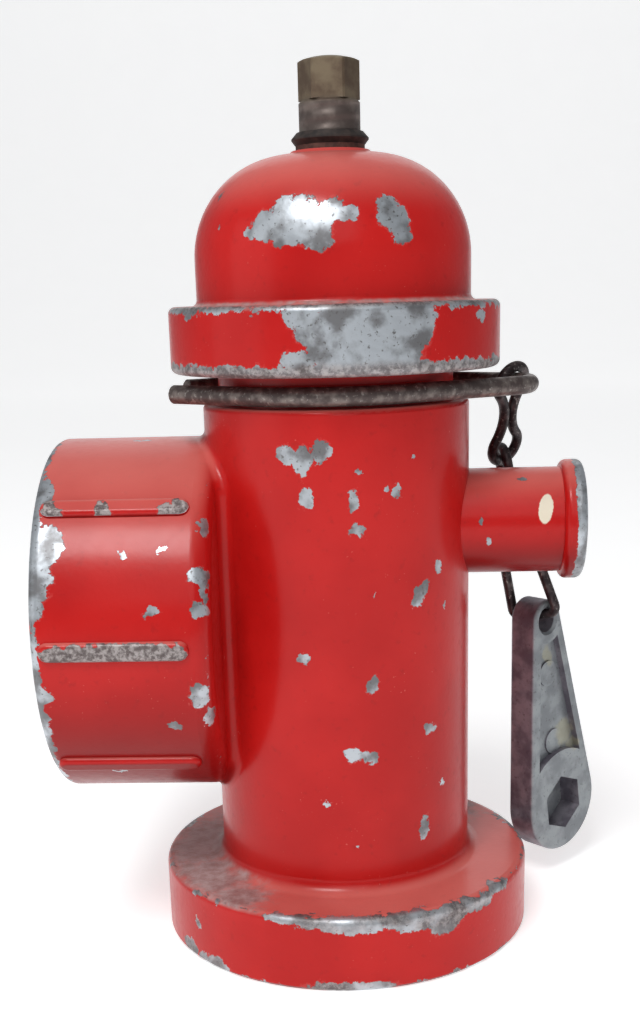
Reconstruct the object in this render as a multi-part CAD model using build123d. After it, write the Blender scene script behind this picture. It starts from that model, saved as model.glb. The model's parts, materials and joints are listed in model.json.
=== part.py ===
from build123d import *
import os
from math import acos, asin, degrees, hypot

# Die-cast toy fire hydrant that feeds a garden hose to a small outlet spout.
# Millimetres. The origin is the centre of the base's underside, +Z runs up the barrel,
# the outlet spout points along +X and the hose coupling opens along -X.

# ---- Casting: base, barrel, hose coupling and spout ----
BASE_RADIUS = 20.0
BASE_HEIGHT = 7.9
BARREL_RADIUS = 13.65
BARREL_TOP = 56.9
NECK_RADIUS = 12.0
NECK_TOP = 65.0
COUPLING_RADIUS = 18.54
COUPLING_HEIGHT = 34.9
COUPLING_FACE_X = -29.25
COUPLING_BACK_X = -11.8
COUPLING_BACK_ROUND = 1.9
COUPLING_SEAM_ROUND = 0.9
COUPLING_RIB_ANGLES = (-1, 42, 138, 181, 225, 315)
COUPLING_RIB_MIDDLE_X = -21.1
COUPLING_RIB_LENGTH = 14.5
COUPLING_RIB_WIDTH = 1.9
COUPLING_RIB_HEIGHT = 0.6
HOSE_THREAD_MINOR_RADIUS = 12.3
HOSE_THREAD_LENGTH = 10.3
HOSE_SOCKET_DEPTH = 13.5
HOSE_UNDERCUT_RADIUS = 12.9
HOSE_WASHER_RADIUS = 12.7
HOSE_WASHER_HOLE_RADIUS = 8.0
HOSE_WASHER_THICKNESS = 3.0
SPOUT_RADIUS = 5.44
SPOUT_HEIGHT = 44.1
SPOUT_END_X = 25.3
SPOUT_LIP_RADIUS = 6.18
SPOUT_LIP_WIDTH = 2.3
SPOUT_BORE_RADIUS = 3.6

# ---- Water chambers inside the barrel ----
CHAMBER_RADIUS = 8.0
INLET_PASSAGE_RADIUS = 3.6
PARTITION_BOTTOM = 38.6
PARTITION_TOP = 40.4
PLUG_THREAD_RADIUS = 9.0
PLUG_FLANGE_RADIUS = 11.0
PLUG_FLANGE_HEIGHT = 2.0
PLUG_TOP = 6.5
PLUG_SPANNER_X = 6.0
PLUG_SPANNER_RADIUS = 1.25
GASKET_THICKNESS = 1.0

# ---- Bonnet: clamp ring and dome ----
RING_RADIUS = 16.7
RING_BOTTOM = 60.0
RING_TOP = 66.5
DOME_RADIUS = 13.8
DOME_TOP = 80.8
DOME_SHOULDER = 9.6
DOME_CROWN_RADIUS = 3.9
DOME_CROWN_RISE = 0.35
DOME_CAVITY_RADIUS = 9.0
GLAND_BOTTOM = 73.0
PACKING_BOTTOM = 77.0
PACKING_WASHER_TOP = 77.6
PACKING_TOP = 79.4
PACKING_RADIUS = 3.85

# ---- Valve ----
STEM_TOP = 89.4
STEM_RADIUS = 3.0
STEM_HEX_ACROSS_FLATS = 5.33
STEM_HEX_HEIGHT = 4.0
STEM_CROWN_RADIUS = 9.0
STOP_RADIUS = 4.0
STOP_BOTTOM = 68.4
STOP_TOP = 69.8
SPINDLE_RADIUS = 2.4
SPINDLE_BOTTOM = 46.2
BUTTON_NECK_RADIUS = 1.5
BUTTON_RADIUS = 2.2
BUTTON_BOTTOM = 43.45
BUTTON_TOP = 44.6
COLLAR_RADIUS = 3.4
COLLAR_TOP = 81.3
SEAL_RADIUS = 3.8
SEAL_BROW = 81.95
SEAL_TOP = 82.5
SEAT_TOP = 41.0
SEAT_HOLE_RADIUS = 2.8
SEAT_THREAD_RADIUS = 4.2
SEAT_FLANGE_RADIUS = 5.2
SEAT_LIP_RADIUS = 3.4
WASHER_BOTTOM = SEAT_TOP + 0.05
WASHER_RADIUS = 4.0
WASHER_TOP = 42.5
CUP_BOTTOM = 42.0
CUP_FLANGE_TOP = 43.0
CUP_TOP = 45.9
CUP_RADIUS = 3.4
SCREW_RADIUS = 0.82
SCREW_TOP = 43.3
SCREW_HEAD_RADIUS = 1.8
SCREW_HEAD_HEIGHT = 0.9

# ---- Neck clip ----
CLIP_WIRE_RADIUS = 0.925
CLIP_HEIGHT = 58.1
CLIP_WRAP_RADIUS = 12.97
CLIP_EYE_RADIUS = 4.6
CLIP_EYE_X = 15.2
CLIP_END = (-16.1, -4.6)

# ---- Chain and wrench ----
CHAIN_WIRE_RADIUS = 0.55
LINK_LENGTH = 12.8
LINK_WIDTH = 3.7
LINK_WAIST = 1.14
CLIP_HOOK_ANGLE = 48
UPPER_LINK_UP = (0.03, -0.5, 0.866)
UPPER_LINK_FACING = (0.60, -0.80, 0.0)
LOWER_LINK_UP = (-0.17, 0.0, 0.985)
LOWER_LINK_FACING = (-0.99, -0.14, 0.0)
KEY_RING_HEIGHT = 9.0
KEY_RING_WIDTH = 5.4
KEY_RING_CORNER = 0.9
KEY_RING_CROWN = 2.1
KEY_RING_GAP = (38, 80)
KEY_RING_UP = (-0.27, -0.05, 0.96)
KEY_RING_FACING = (-0.56, -0.828, 0.0)
WRENCH_LENGTH = 31.3
WRENCH_HEAD_RADIUS = 5.85
WRENCH_EYE_END_RADIUS = 2.35
WRENCH_EYE_RADIUS = 1.4
WRENCH_BOSS_RADIUS = 6.6
WRENCH_THICKNESS = 3.5
WRENCH_BORDER = 1.25
WRENCH_RECESS = 0.8
WRENCH_HEX_ACROSS_FLATS = 5.9
WRENCH_SOCKET_DEPTH = 2.7
WRENCH_MARK_RADIUS = 1.5
WRENCH_MARK_DISTANCES = (6.6, 15.2)
WRENCH_UP = (-0.112, -0.109, 1.0)
WRENCH_FACING = (0.71, -0.704, 0.0)

# Gap between a screwed or sliding piece and its hole, and the play left between two wires.
SLIP = 0.03
WIRE_PLAY = 0.2
RUNNING = 0.06


def rod(radius, bottom, top):
    """Upright cylinder on the barrel's axis."""
    return Pos(0, 0, (bottom + top) / 2) * Cylinder(radius, top - bottom)


def tube(outer, inner, bottom, top):
    """Upright ring on the barrel's axis."""
    return rod(outer, bottom, top) - rod(inner, bottom - 1, top + 1)


def rod_along_x(radius, start, end, height):
    """Cylinder parallel to X at the given height."""
    turn = Pos((start + end) / 2, 0, height) * Rot(0, 90, 0)
    return turn * Cylinder(radius, end - start)


def edges_at_height(part, height, radius):
    """Round edges of a part that lie at one height and have one radius."""
    level = part.edges().filter_by(GeomType.CIRCLE)
    return level.filter_by(lambda e: abs(e.center().Z - height) < 0.01 and abs(e.radius - radius) < 0.01)


def edges_at_x(part, x, radius):
    """Round edges of a part that lie at one X and have one radius."""
    level = part.edges().filter_by(GeomType.CIRCLE)
    return level.filter_by(lambda e: abs(e.arc_center.X - x) < 0.01 and abs(e.radius - radius) < 0.01)


# ---------------------------------------------------------------- casting
def base_and_barrel():
    """Round foot, plain barrel and the neck that the bonnet screws onto."""
    body = rod(BASE_RADIUS, 0, BASE_HEIGHT)
    body = fillet(edges_at_height(body, BASE_HEIGHT, BASE_RADIUS), 0.8)
    body = chamfer(edges_at_height(body, 0, BASE_RADIUS), 0.35)
    body = body + rod(BARREL_RADIUS, 0, BARREL_TOP)
    body = fillet(edges_at_height(body, BASE_HEIGHT, BARREL_RADIUS), 1.4)
    body = fillet(edges_at_height(body, BARREL_TOP, BARREL_RADIUS), 0.5)
    return body + rod(NECK_RADIUS, BARREL_TOP - 1, NECK_TOP)


def coupling_drum():
    """Hose coupling: a short drum along X with rounded edges."""
    drum = rod_along_x(COUPLING_RADIUS, COUPLING_FACE_X, COUPLING_BACK_X, COUPLING_HEIGHT)
    drum = fillet(edges_at_x(drum, COUPLING_FACE_X, COUPLING_RADIUS), 1.1)
    return fillet(edges_at_x(drum, COUPLING_BACK_X, COUPLING_RADIUS), COUPLING_BACK_ROUND)


def barrel_with_coupling():
    """Foot and barrel joined to the coupling, with a cove up each side where the two meet."""
    body = base_and_barrel() + coupling_drum()
    upright = body.edges().filter_by(Axis.Z)
    seams = upright.filter_by(lambda e: abs(e.center().X - COUPLING_BACK_X) < 0.01)
    return fillet(seams, COUPLING_SEAM_ROUND)


def coupling_rib(angle):
    """Round-ended grip rib along the drum. Angle 0 is on the -Y side."""
    outline = SlotOverall(COUPLING_RIB_LENGTH, COUPLING_RIB_WIDTH)
    rib = extrude(outline, COUPLING_RIB_HEIGHT + 1)
    crown = rib.faces().sort_by(Axis.Z)[-1].edges()
    rib = fillet(crown, 0.5)
    seat = Pos(COUPLING_RIB_MIDDLE_X, 0, COUPLING_HEIGHT) * Rot(90 + angle, 0, 0)
    return seat * Pos(0, 0, COUPLING_RADIUS - 1) * rib


def spout():
    """Outlet spout with a rolled lip."""
    pipe = rod_along_x(SPOUT_RADIUS, 8, SPOUT_END_X, SPOUT_HEIGHT)
    lip = rod_along_x(SPOUT_LIP_RADIUS, SPOUT_END_X - SPOUT_LIP_WIDTH, SPOUT_END_X, SPOUT_HEIGHT)
    rim = [SPOUT_END_X - SPOUT_LIP_WIDTH, SPOUT_END_X]
    for x in rim:
        lip = fillet(edges_at_x(lip, x, SPOUT_LIP_RADIUS), 0.7)
    return pipe + lip


def water_way():
    """Everything that the water fills: socket, passage, chambers, seat hole and spout bore."""
    thread_end = COUPLING_FACE_X + HOSE_THREAD_LENGTH
    socket_floor = COUPLING_FACE_X + HOSE_SOCKET_DEPTH
    socket = rod_along_x(HOSE_THREAD_MINOR_RADIUS, COUPLING_FACE_X - 1, thread_end + 1, COUPLING_HEIGHT)
    undercut = rod_along_x(HOSE_UNDERCUT_RADIUS, thread_end, socket_floor, COUPLING_HEIGHT)
    passage = rod_along_x(INLET_PASSAGE_RADIUS, socket_floor - 1, -4, COUPLING_HEIGHT)
    lower = rod(CHAMBER_RADIUS, 1, PARTITION_BOTTOM)
    upper = rod(CHAMBER_RADIUS, PARTITION_TOP, NECK_TOP + 1)
    seat_hole = rod(SEAT_THREAD_RADIUS, PARTITION_BOTTOM - 1, PARTITION_TOP + 1)
    spout_bore = rod_along_x(SPOUT_BORE_RADIUS, 4, SPOUT_END_X + 1, SPOUT_HEIGHT)
    return socket + undercut + passage + lower + upper + seat_hole + spout_bore


def make_hydrant_casting():
    """One zinc casting: foot, barrel, neck, hose coupling and spout."""
    outside = barrel_with_coupling() + spout()
    for angle in COUPLING_RIB_ANGLES:
        outside = outside + coupling_rib(angle)
    plug_seat = rod(PLUG_FLANGE_RADIUS + SLIP, -1, PLUG_FLANGE_HEIGHT + GASKET_THICKNESS)
    plug_hole = rod(PLUG_THREAD_RADIUS + SLIP, -1, PLUG_TOP + 0.5)
    body = outside - water_way() - plug_seat - plug_hole
    return chamfer(edges_at_x(body, COUPLING_FACE_X, HOSE_THREAD_MINOR_RADIUS), 0.6)


def make_base_plug():
    """Screwed plug that closes the core hole under the foot, with two spanner holes."""
    plug = rod(PLUG_FLANGE_RADIUS, 0, PLUG_FLANGE_HEIGHT) + rod(PLUG_THREAD_RADIUS, 0, PLUG_TOP)
    for side in (-1, 1):
        plug = plug - Pos(side * PLUG_SPANNER_X, 0, 0.5) * Cylinder(PLUG_SPANNER_RADIUS, 3)
    return plug


def make_base_plug_gasket():
    """Fibre ring between the plug's flange and the casting."""
    return tube(PLUG_FLANGE_RADIUS - 0.1, PLUG_THREAD_RADIUS + 0.1,
                PLUG_FLANGE_HEIGHT, PLUG_FLANGE_HEIGHT + GASKET_THICKNESS)


def make_hose_washer():
    """Flat rubber washer at the bottom of the hose socket."""
    floor = COUPLING_FACE_X + HOSE_SOCKET_DEPTH
    face = floor - HOSE_WASHER_THICKNESS
    disc = rod_along_x(HOSE_WASHER_RADIUS, face, floor, COUPLING_HEIGHT)
    return disc - rod_along_x(HOSE_WASHER_HOLE_RADIUS, face - 1, floor + 1, COUPLING_HEIGHT)


# ---------------------------------------------------------------- bonnet
def dome_profile():
    """Half section of the bonnet's outside, from the axis out and back."""
    brow_z = DOME_TOP - DOME_CROWN_RISE
    shoulder_z = brow_z - DOME_SHOULDER
    shoulder_x = DOME_RADIUS - DOME_SHOULDER
    ring_edge = 0.7
    root_fillet = 0.6
    rim_x = RING_RADIUS - ring_edge
    with BuildSketch(Plane.XZ) as half:
        with BuildLine():
            Line((0, RING_BOTTOM), (rim_x, RING_BOTTOM))
            RadiusArc((rim_x, RING_BOTTOM), (RING_RADIUS, RING_BOTTOM + ring_edge), -ring_edge)
            Line((RING_RADIUS, RING_BOTTOM + ring_edge), (RING_RADIUS, RING_TOP - ring_edge))
            RadiusArc((RING_RADIUS, RING_TOP - ring_edge), (rim_x, RING_TOP), -ring_edge)
            Line((rim_x, RING_TOP), (DOME_RADIUS + root_fillet, RING_TOP))
            RadiusArc((DOME_RADIUS + root_fillet, RING_TOP), (DOME_RADIUS, RING_TOP + root_fillet), root_fillet)
            Line((DOME_RADIUS, RING_TOP + root_fillet), (DOME_RADIUS, shoulder_z))
            RadiusArc((DOME_RADIUS, shoulder_z), (shoulder_x, brow_z), -DOME_SHOULDER)
            Line((shoulder_x, brow_z), (DOME_CROWN_RADIUS, DOME_TOP))
            Line((DOME_CROWN_RADIUS, DOME_TOP), (0, DOME_TOP))
            Line((0, DOME_TOP), (0, RING_BOTTOM))
        make_face()
    return half.sketch


def make_bonnet():
    """Screwed bonnet: clamp ring, dome, threaded gland and packing recess."""
    bonnet = revolve(dome_profile(), Axis.Z)
    bonnet = bonnet - rod(NECK_RADIUS + SLIP, RING_BOTTOM - 1, NECK_TOP + GASKET_THICKNESS)
    bonnet = bonnet - rod(DOME_CAVITY_RADIUS, RING_BOTTOM, GLAND_BOTTOM)
    bonnet = bonnet - rod(STEM_RADIUS + RUNNING, GLAND_BOTTOM - 1, DOME_TOP)
    return bonnet - rod(PACKING_RADIUS, PACKING_BOTTOM, DOME_TOP + 1)


def make_bonnet_gasket():
    """Fibre ring clamped between the neck and the bonnet."""
    return tube(NECK_RADIUS - 0.1, DOME_CAVITY_RADIUS, NECK_TOP, NECK_TOP + GASKET_THICKNESS)


def make_packing_washer():
    """Thin brass washer under the packing."""
    return tube(PACKING_RADIUS - SLIP, STEM_RADIUS + RUNNING, PACKING_BOTTOM, PACKING_WASHER_TOP)


def make_stem_packing():
    """Soft packing ring squeezed round the stem."""
    return tube(PACKING_RADIUS - SLIP, STEM_RADIUS + RUNNING, PACKING_WASHER_TOP, PACKING_TOP)


def make_gland_collar():
    """Gland bush pressed down on the packing, with a collar that shows above the dome."""
    bush = rod(PACKING_RADIUS - SLIP, PACKING_TOP, DOME_TOP) + rod(COLLAR_RADIUS, DOME_TOP, COLLAR_TOP)
    return bush - rod(STEM_RADIUS + RUNNING, PACKING_BOTTOM, STEM_TOP)


def make_stem_seal():
    """Flared rubber ring on top of the gland collar."""
    bore = STEM_RADIUS + RUNNING
    with BuildSketch(Plane.XZ) as half:
        with BuildLine():
            Polyline((bore, COLLAR_TOP), (COLLAR_RADIUS, COLLAR_TOP), (SEAL_RADIUS, SEAL_BROW - 0.15),
                     (SEAL_RADIUS, SEAL_BROW), (COLLAR_RADIUS - 0.1, SEAL_TOP), (bore, SEAL_TOP), close=True)
        make_face()
    return revolve(half.sketch, Axis.Z)


# ---------------------------------------------------------------- valve
def make_valve_stem():
    """Brass stem: rounded hexagon, round shank, stop collar and a button for the washer cup."""
    hexagon = RegularPolygon(STEM_HEX_ACROSS_FLATS / 2, 6, major_radius=False)
    head = Pos(0, 0, STEM_TOP - STEM_HEX_HEIGHT) * extrude(hexagon, STEM_HEX_HEIGHT)
    crown = Pos(0, 0, STEM_TOP - STEM_CROWN_RADIUS) * Sphere(STEM_CROWN_RADIUS)
    blank = rod(STEM_RADIUS, STEM_TOP - STEM_HEX_HEIGHT - 0.01, STEM_TOP)
    blank = fillet(edges_at_height(blank, STEM_TOP, STEM_RADIUS), 0.6)
    head = head & crown & blank
    shank = rod(STEM_RADIUS, STOP_BOTTOM, STEM_TOP - STEM_HEX_HEIGHT)
    shank = chamfer(edges_at_height(shank, STEM_TOP - STEM_HEX_HEIGHT, STEM_RADIUS), 0.25)
    stop = rod(STOP_RADIUS, STOP_BOTTOM, STOP_TOP)
    spindle = rod(SPINDLE_RADIUS, SPINDLE_BOTTOM, STOP_BOTTOM)
    neck = rod(BUTTON_NECK_RADIUS, BUTTON_TOP - 0.1, SPINDLE_BOTTOM)
    button = rod(BUTTON_RADIUS, BUTTON_BOTTOM, BUTTON_TOP)
    return head + shank + stop + spindle + neck + button


def make_washer_cup():
    """Brass cup that swivels on the stem's button and holds the washer."""
    cup = rod(CUP_RADIUS, CUP_FLANGE_TOP, CUP_TOP) + rod(WASHER_RADIUS + 0.8, CUP_BOTTOM, CUP_FLANGE_TOP)
    cup = cup - rod(WASHER_RADIUS + SLIP, CUP_BOTTOM - 0.1, WASHER_TOP)
    cup = cup - rod(BUTTON_RADIUS + RUNNING, BUTTON_BOTTOM - RUNNING, BUTTON_TOP + 0.1)
    cup = cup - rod(BUTTON_NECK_RADIUS + RUNNING, BUTTON_TOP, CUP_TOP + 0.1)
    return cup - rod(SCREW_RADIUS + SLIP, CUP_BOTTOM, BUTTON_BOTTOM)


def make_valve_washer():
    """Rubber disc that closes on the seat."""
    return tube(WASHER_RADIUS, SCREW_RADIUS + 0.08, WASHER_BOTTOM, WASHER_TOP)


def make_washer_screw():
    """Brass screw that holds the washer in its cup."""
    underside = WASHER_BOTTOM - SCREW_HEAD_HEIGHT
    head = rod(SCREW_HEAD_RADIUS, underside, WASHER_BOTTOM)
    head = fillet(edges_at_height(head, underside, SCREW_HEAD_RADIUS), 0.4)
    slot = Pos(0, 0, underside + 0.1) * Box(2 * SCREW_HEAD_RADIUS + 1, 0.45, 0.5)
    return head - slot + rod(SCREW_RADIUS, WASHER_BOTTOM, SCREW_TOP)


def make_seat_insert():
    """Brass seat ring set in the partition between the two chambers."""
    ring = rod(SEAT_THREAD_RADIUS - SLIP, PARTITION_BOTTOM, PARTITION_TOP)
    ring = ring + rod(SEAT_FLANGE_RADIUS, PARTITION_TOP, SEAT_TOP - 0.25)
    ring = ring + rod(SEAT_LIP_RADIUS, PARTITION_TOP, SEAT_TOP)
    return ring - rod(SEAT_HOLE_RADIUS, PARTITION_BOTTOM - 1, SEAT_TOP + 1)


# ---------------------------------------------------------------- wire pieces
def wire_along(path, radius):
    """Round wire swept along an open path."""
    start = Plane(path @ 0, z_dir=path % 0)
    section = start * Circle(radius)
    return sweep(section, path=path)


def front_half_of_clip():
    """Centreline of half the clip, from its free end round the neck to the tip of the eye."""
    reach = hypot(*CLIP_END)
    leave_angle = -180 + degrees(asin(-CLIP_END[1] / reach) + acos(CLIP_WRAP_RADIUS / reach))
    enter_angle = -degrees(acos((CLIP_WRAP_RADIUS - CLIP_EYE_RADIUS) / CLIP_EYE_X))
    leave = Vector(CLIP_WRAP_RADIUS, 0).rotate(Axis.Z, leave_angle)
    enter = Vector(CLIP_WRAP_RADIUS, 0).rotate(Axis.Z, enter_angle)
    eye_start = Vector(CLIP_EYE_X, 0) + Vector(CLIP_EYE_RADIUS, 0).rotate(Axis.Z, enter_angle)
    end_run = Line(Vector(*CLIP_END), leave)
    wrap = CenterArc((0, 0), CLIP_WRAP_RADIUS, leave_angle, enter_angle - leave_angle)
    leg = Line(enter, eye_start)
    eye = CenterArc((CLIP_EYE_X, 0), CLIP_EYE_RADIUS, enter_angle, -enter_angle)
    return Pos(0, 0, CLIP_HEIGHT) * Wire([end_run, wrap, leg, eye])


def make_neck_clip():
    """Open spring-wire clip: wraps the neck front and back and makes an eye beside the spout."""
    half = wire_along(front_half_of_clip(), CLIP_WIRE_RADIUS)
    clip = half + mirror(half, about=Plane.XZ)
    tips = clip.edges().filter_by(GeomType.CIRCLE).group_by(Axis.X)[0]
    return chamfer(tips, 0.2)


def right_half_of_link():
    """Centreline of the right half of a figure-eight link, long axis along Y."""
    loop = LINK_WIDTH / 2
    loop_y = LINK_LENGTH / 2 - CHAIN_WIRE_RADIUS - loop
    waist_x = LINK_WAIST / 2
    waist_radius = (loop_y ** 2 + waist_x ** 2 - loop ** 2) / (2 * (loop - waist_x))
    turn = degrees(asin(loop_y / (loop + waist_radius)))
    top = CenterArc((0, loop_y), loop, 90, -(90 + turn))
    waist = CenterArc((waist_x + waist_radius, 0), waist_radius, 180 - turn, 2 * turn)
    bottom = CenterArc((0, -loop_y), loop, turn, -(90 + turn))
    return Wire([top, waist, bottom])


def figure_eight_link():
    """Closed figure-eight link in its own plane."""
    half = wire_along(right_half_of_link(), CHAIN_WIRE_RADIUS)
    return half + mirror(half, about=Plane.YZ)


def hanging_plane(centre, up, facing):
    """Plane whose Y is the piece's long axis, pointing up, and whose Z is near its facing."""
    up = Vector(*up).normalized()
    side = up.cross(Vector(*facing)).normalized()
    return Plane(centre, x_dir=side, z_dir=side.cross(up))


def clip_hook():
    """Point on the clip's eye that carries the chain, and the wire's direction there."""
    spoke = Vector(CLIP_EYE_RADIUS, 0).rotate(Axis.Z, CLIP_HOOK_ANGLE)
    along = Vector(0, -1).rotate(Axis.Z, CLIP_HOOK_ANGLE)
    return Vector(CLIP_EYE_X, 0, CLIP_HEIGHT) + spoke, along


def upper_link_plane():
    """Place of the upper link: its top bar rests on the clip's eye."""
    hook, _ = clip_hook()
    up = Vector(*UPPER_LINK_UP).normalized()
    top_bar = hook + up * (CLIP_WIRE_RADIUS + CHAIN_WIRE_RADIUS + WIRE_PLAY)
    centre = top_bar - up * (LINK_LENGTH / 2 - CHAIN_WIRE_RADIUS)
    return hanging_plane(centre, UPPER_LINK_UP, UPPER_LINK_FACING)


def lower_bar(plane, length):
    """Middle of a piece's bottom bar."""
    return plane.origin - plane.y_dir * (length / 2 - CHAIN_WIRE_RADIUS)


def lower_link_plane():
    """Place of the lower link: its top bar rests on the upper link's bottom bar."""
    hook = lower_bar(upper_link_plane(), LINK_LENGTH)
    up = Vector(*LOWER_LINK_UP).normalized()
    top_bar = hook + up * (2 * CHAIN_WIRE_RADIUS + WIRE_PLAY)
    centre = top_bar - up * (LINK_LENGTH / 2 - CHAIN_WIRE_RADIUS)
    return hanging_plane(centre, LOWER_LINK_UP, LOWER_LINK_FACING)


def key_ring_plane():
    """Place of the ring: origin in the middle of its bottom bar."""
    hook = lower_bar(lower_link_plane(), LINK_LENGTH)
    up = Vector(*KEY_RING_UP).normalized()
    top_bar = hook + up * (2 * CHAIN_WIRE_RADIUS + WIRE_PLAY)
    return hanging_plane(top_bar - up * KEY_RING_HEIGHT, KEY_RING_UP, KEY_RING_FACING)


def key_ring_path():
    """Pear-shaped ring, wide at the bottom, cut open at its upper right."""
    corner = KEY_RING_CORNER
    half_width = KEY_RING_WIDTH / 2
    top_y = KEY_RING_HEIGHT - KEY_RING_CROWN
    lean = degrees(asin((half_width - KEY_RING_CROWN) / (top_y - corner)))
    side_top = Vector(KEY_RING_CROWN, 0).rotate(Axis.Z, lean) + Vector(0, top_y)
    corner_centre = Vector(half_width - corner, corner)
    side_low = corner_centre + Vector(corner, 0).rotate(Axis.Z, lean)
    gap_start, gap_end = KEY_RING_GAP
    return Wire([
        CenterArc((0, top_y), KEY_RING_CROWN, gap_end, 180 - lean - gap_end),
        Line((-side_top.X, side_top.Y), (-side_low.X, side_low.Y)),
        CenterArc((-corner_centre.X, corner), corner, 180 - lean, 90 + lean),
        Line((-corner_centre.X, 0), (corner_centre.X, 0)),
        CenterArc((corner_centre.X, corner), corner, -90, 90 + lean),
        Line((side_low.X, side_low.Y), (side_top.X, side_top.Y)),
        CenterArc((0, top_y), KEY_RING_CROWN, lean, gap_start - lean),
    ])


def make_key_ring():
    """Cut wire ring between the chain and the wrench."""
    return key_ring_plane() * wire_along(key_ring_path(), CHAIN_WIRE_RADIUS)


# ---------------------------------------------------------------- wrench
def wrench_plane():
    """Place of the wrench: origin in its eye, Y up its length, Z out of its face."""
    drop = WRENCH_EYE_RADIUS - CHAIN_WIRE_RADIUS - 2 * WIRE_PLAY
    eye = key_ring_plane().origin - Vector(*WRENCH_UP).normalized() * drop
    return hanging_plane(eye, WRENCH_UP, WRENCH_FACING)


def teardrop(inset, pitch):
    """Outline round the wrench's head and eye end, drawn inwards by the inset."""
    with BuildSketch() as outline:
        with BuildLine():
            CenterArc((0, 0), WRENCH_EYE_END_RADIUS - inset, 0, 360)
            CenterArc((0, -pitch), WRENCH_HEAD_RADIUS - inset, 0, 360)
        make_hull()
    return outline.sketch


def make_wrench():
    """Cast wrench: raised border, sunk web on both faces, blind hexagon socket and chain eye."""
    pitch = WRENCH_LENGTH - WRENCH_HEAD_RADIUS - WRENCH_EYE_END_RADIUS
    blank = extrude(teardrop(0, pitch), WRENCH_THICKNESS / 2, both=True)
    rims = blank.faces().filter_by(Axis.Z).edges()
    blank = fillet(rims, 0.4)
    boss = Pos(0, -pitch) * Circle(WRENCH_BOSS_RADIUS)
    eye_pad = Circle(WRENCH_EYE_END_RADIUS + 0.3)
    web = teardrop(WRENCH_BORDER, pitch) - boss - eye_pad
    for side in (-1, 1):
        floor = side * (WRENCH_THICKNESS / 2 - WRENCH_RECESS)
        pocket = Pos(0, 0, floor) * extrude(web, side * 2)
        blank = blank - pocket
        for distance in WRENCH_MARK_DISTANCES:
            blank = blank + Pos(0, -distance, floor) * Cylinder(WRENCH_MARK_RADIUS, 0.4)
    socket = RegularPolygon(WRENCH_HEX_ACROSS_FLATS / 2, 6, major_radius=False, rotation=30)
    socket_floor = WRENCH_THICKNESS / 2 - WRENCH_SOCKET_DEPTH
    blank = blank - Pos(0, -pitch, socket_floor) * extrude(socket, WRENCH_THICKNESS)
    blank = blank - Cylinder(WRENCH_EYE_RADIUS, 10)
    eye_rims = blank.edges().filter_by(GeomType.CIRCLE)
    eye_rims = eye_rims.filter_by(lambda e: abs(e.radius - WRENCH_EYE_RADIUS) < 0.01)
    return wrench_plane() * chamfer(eye_rims, 0.3)


NODES = {
    "hydrant_casting": make_hydrant_casting,
    "base_plug": make_base_plug,
    "base_plug_gasket": make_base_plug_gasket,
    "hose_washer": make_hose_washer,
    "bonnet": make_bonnet,
    "bonnet_gasket": make_bonnet_gasket,
    "packing_washer": make_packing_washer,
    "stem_packing": make_stem_packing,
    "gland_collar": make_gland_collar,
    "stem_seal": make_stem_seal,
    "valve_stem": make_valve_stem,
    "washer_cup": make_washer_cup,
    "valve_washer": make_valve_washer,
    "washer_screw": make_washer_screw,
    "seat_insert": make_seat_insert,
    "neck_clip": make_neck_clip,
    "upper_link": lambda: upper_link_plane() * figure_eight_link(),
    "lower_link": lambda: lower_link_plane() * figure_eight_link(),
    "key_ring": make_key_ring,
    "wrench": make_wrench,
}

os.makedirs("parts", exist_ok=True)
for node, make in NODES.items():
    export_step(make(), f"parts/{node}.step")
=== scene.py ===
import json
from math import cos, hypot, pi, radians, sin

import bpy
from mathutils import Matrix, Vector


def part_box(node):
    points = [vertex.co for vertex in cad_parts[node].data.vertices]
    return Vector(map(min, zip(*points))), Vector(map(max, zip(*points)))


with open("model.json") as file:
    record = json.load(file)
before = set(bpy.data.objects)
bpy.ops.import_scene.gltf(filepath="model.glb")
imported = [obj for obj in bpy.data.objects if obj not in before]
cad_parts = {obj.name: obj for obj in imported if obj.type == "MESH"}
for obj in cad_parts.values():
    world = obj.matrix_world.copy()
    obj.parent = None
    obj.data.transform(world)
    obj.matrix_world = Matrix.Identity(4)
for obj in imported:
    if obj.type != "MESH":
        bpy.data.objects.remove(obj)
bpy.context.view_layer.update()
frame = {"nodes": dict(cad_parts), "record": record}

# Worn red die-cast toy hydrant. Metres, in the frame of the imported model: +Z up the barrel,
# the spout along +X, the hose coupling along -X. Azimuth 0 is the front (-Y), 90 is the spout side.

MM = 0.001
UPWARD = Vector((0, 0, 1))
ALONG_SPOUT = Vector((1, 0, 0))


def extent(node):
    """Lowest corner, highest corner and size of a CAD node."""
    low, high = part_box(node)
    return low, high, high - low


# ---- Places read from the frame ----
BONNET_LOW, _, BONNET_SIZE = extent("bonnet")
CASTING_LOW, CASTING_HIGH, CASTING_SIZE = extent("hydrant_casting")
STEM_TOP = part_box("valve_stem")[1].z
MOUNTS = {mount["name"]: mount for mount in frame["record"]["mounts"]}

RING_RADIUS = BONNET_SIZE.x / 2
RING_BOTTOM = BONNET_LOW.z
RING_TOP = RING_BOTTOM + 6.5 * MM
BASE_RADIUS = CASTING_SIZE.y / 2
BASE_TOP = 7.9 * MM
BARREL_RADIUS = 13.65 * MM
COUPLING_RADIUS = 18.54 * MM
COUPLING_HEIGHT = MOUNTS["hose_inlet"]["pos_m"][2]
COUPLING_FACE = CASTING_LOW.x
COUPLING_BACK = -11.8 * MM
SPOUT_HEIGHT = MOUNTS["spout_bore"]["pos_m"][2]
SPOUT_RADIUS = 5.44 * MM
SPOUT_END = CASTING_HIGH.x
THREAD_PITCH = 1.27 * MM
STEM_HEXAGON_HEIGHT = 4.0 * MM
DOME_SPOT_RADIUS = 12.9 * MM
FOOT_FILLET_TOP = 9.6 * MM
SPOUT_REACH = 7 * MM
COUPLING_REACH = 20 * MM


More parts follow.
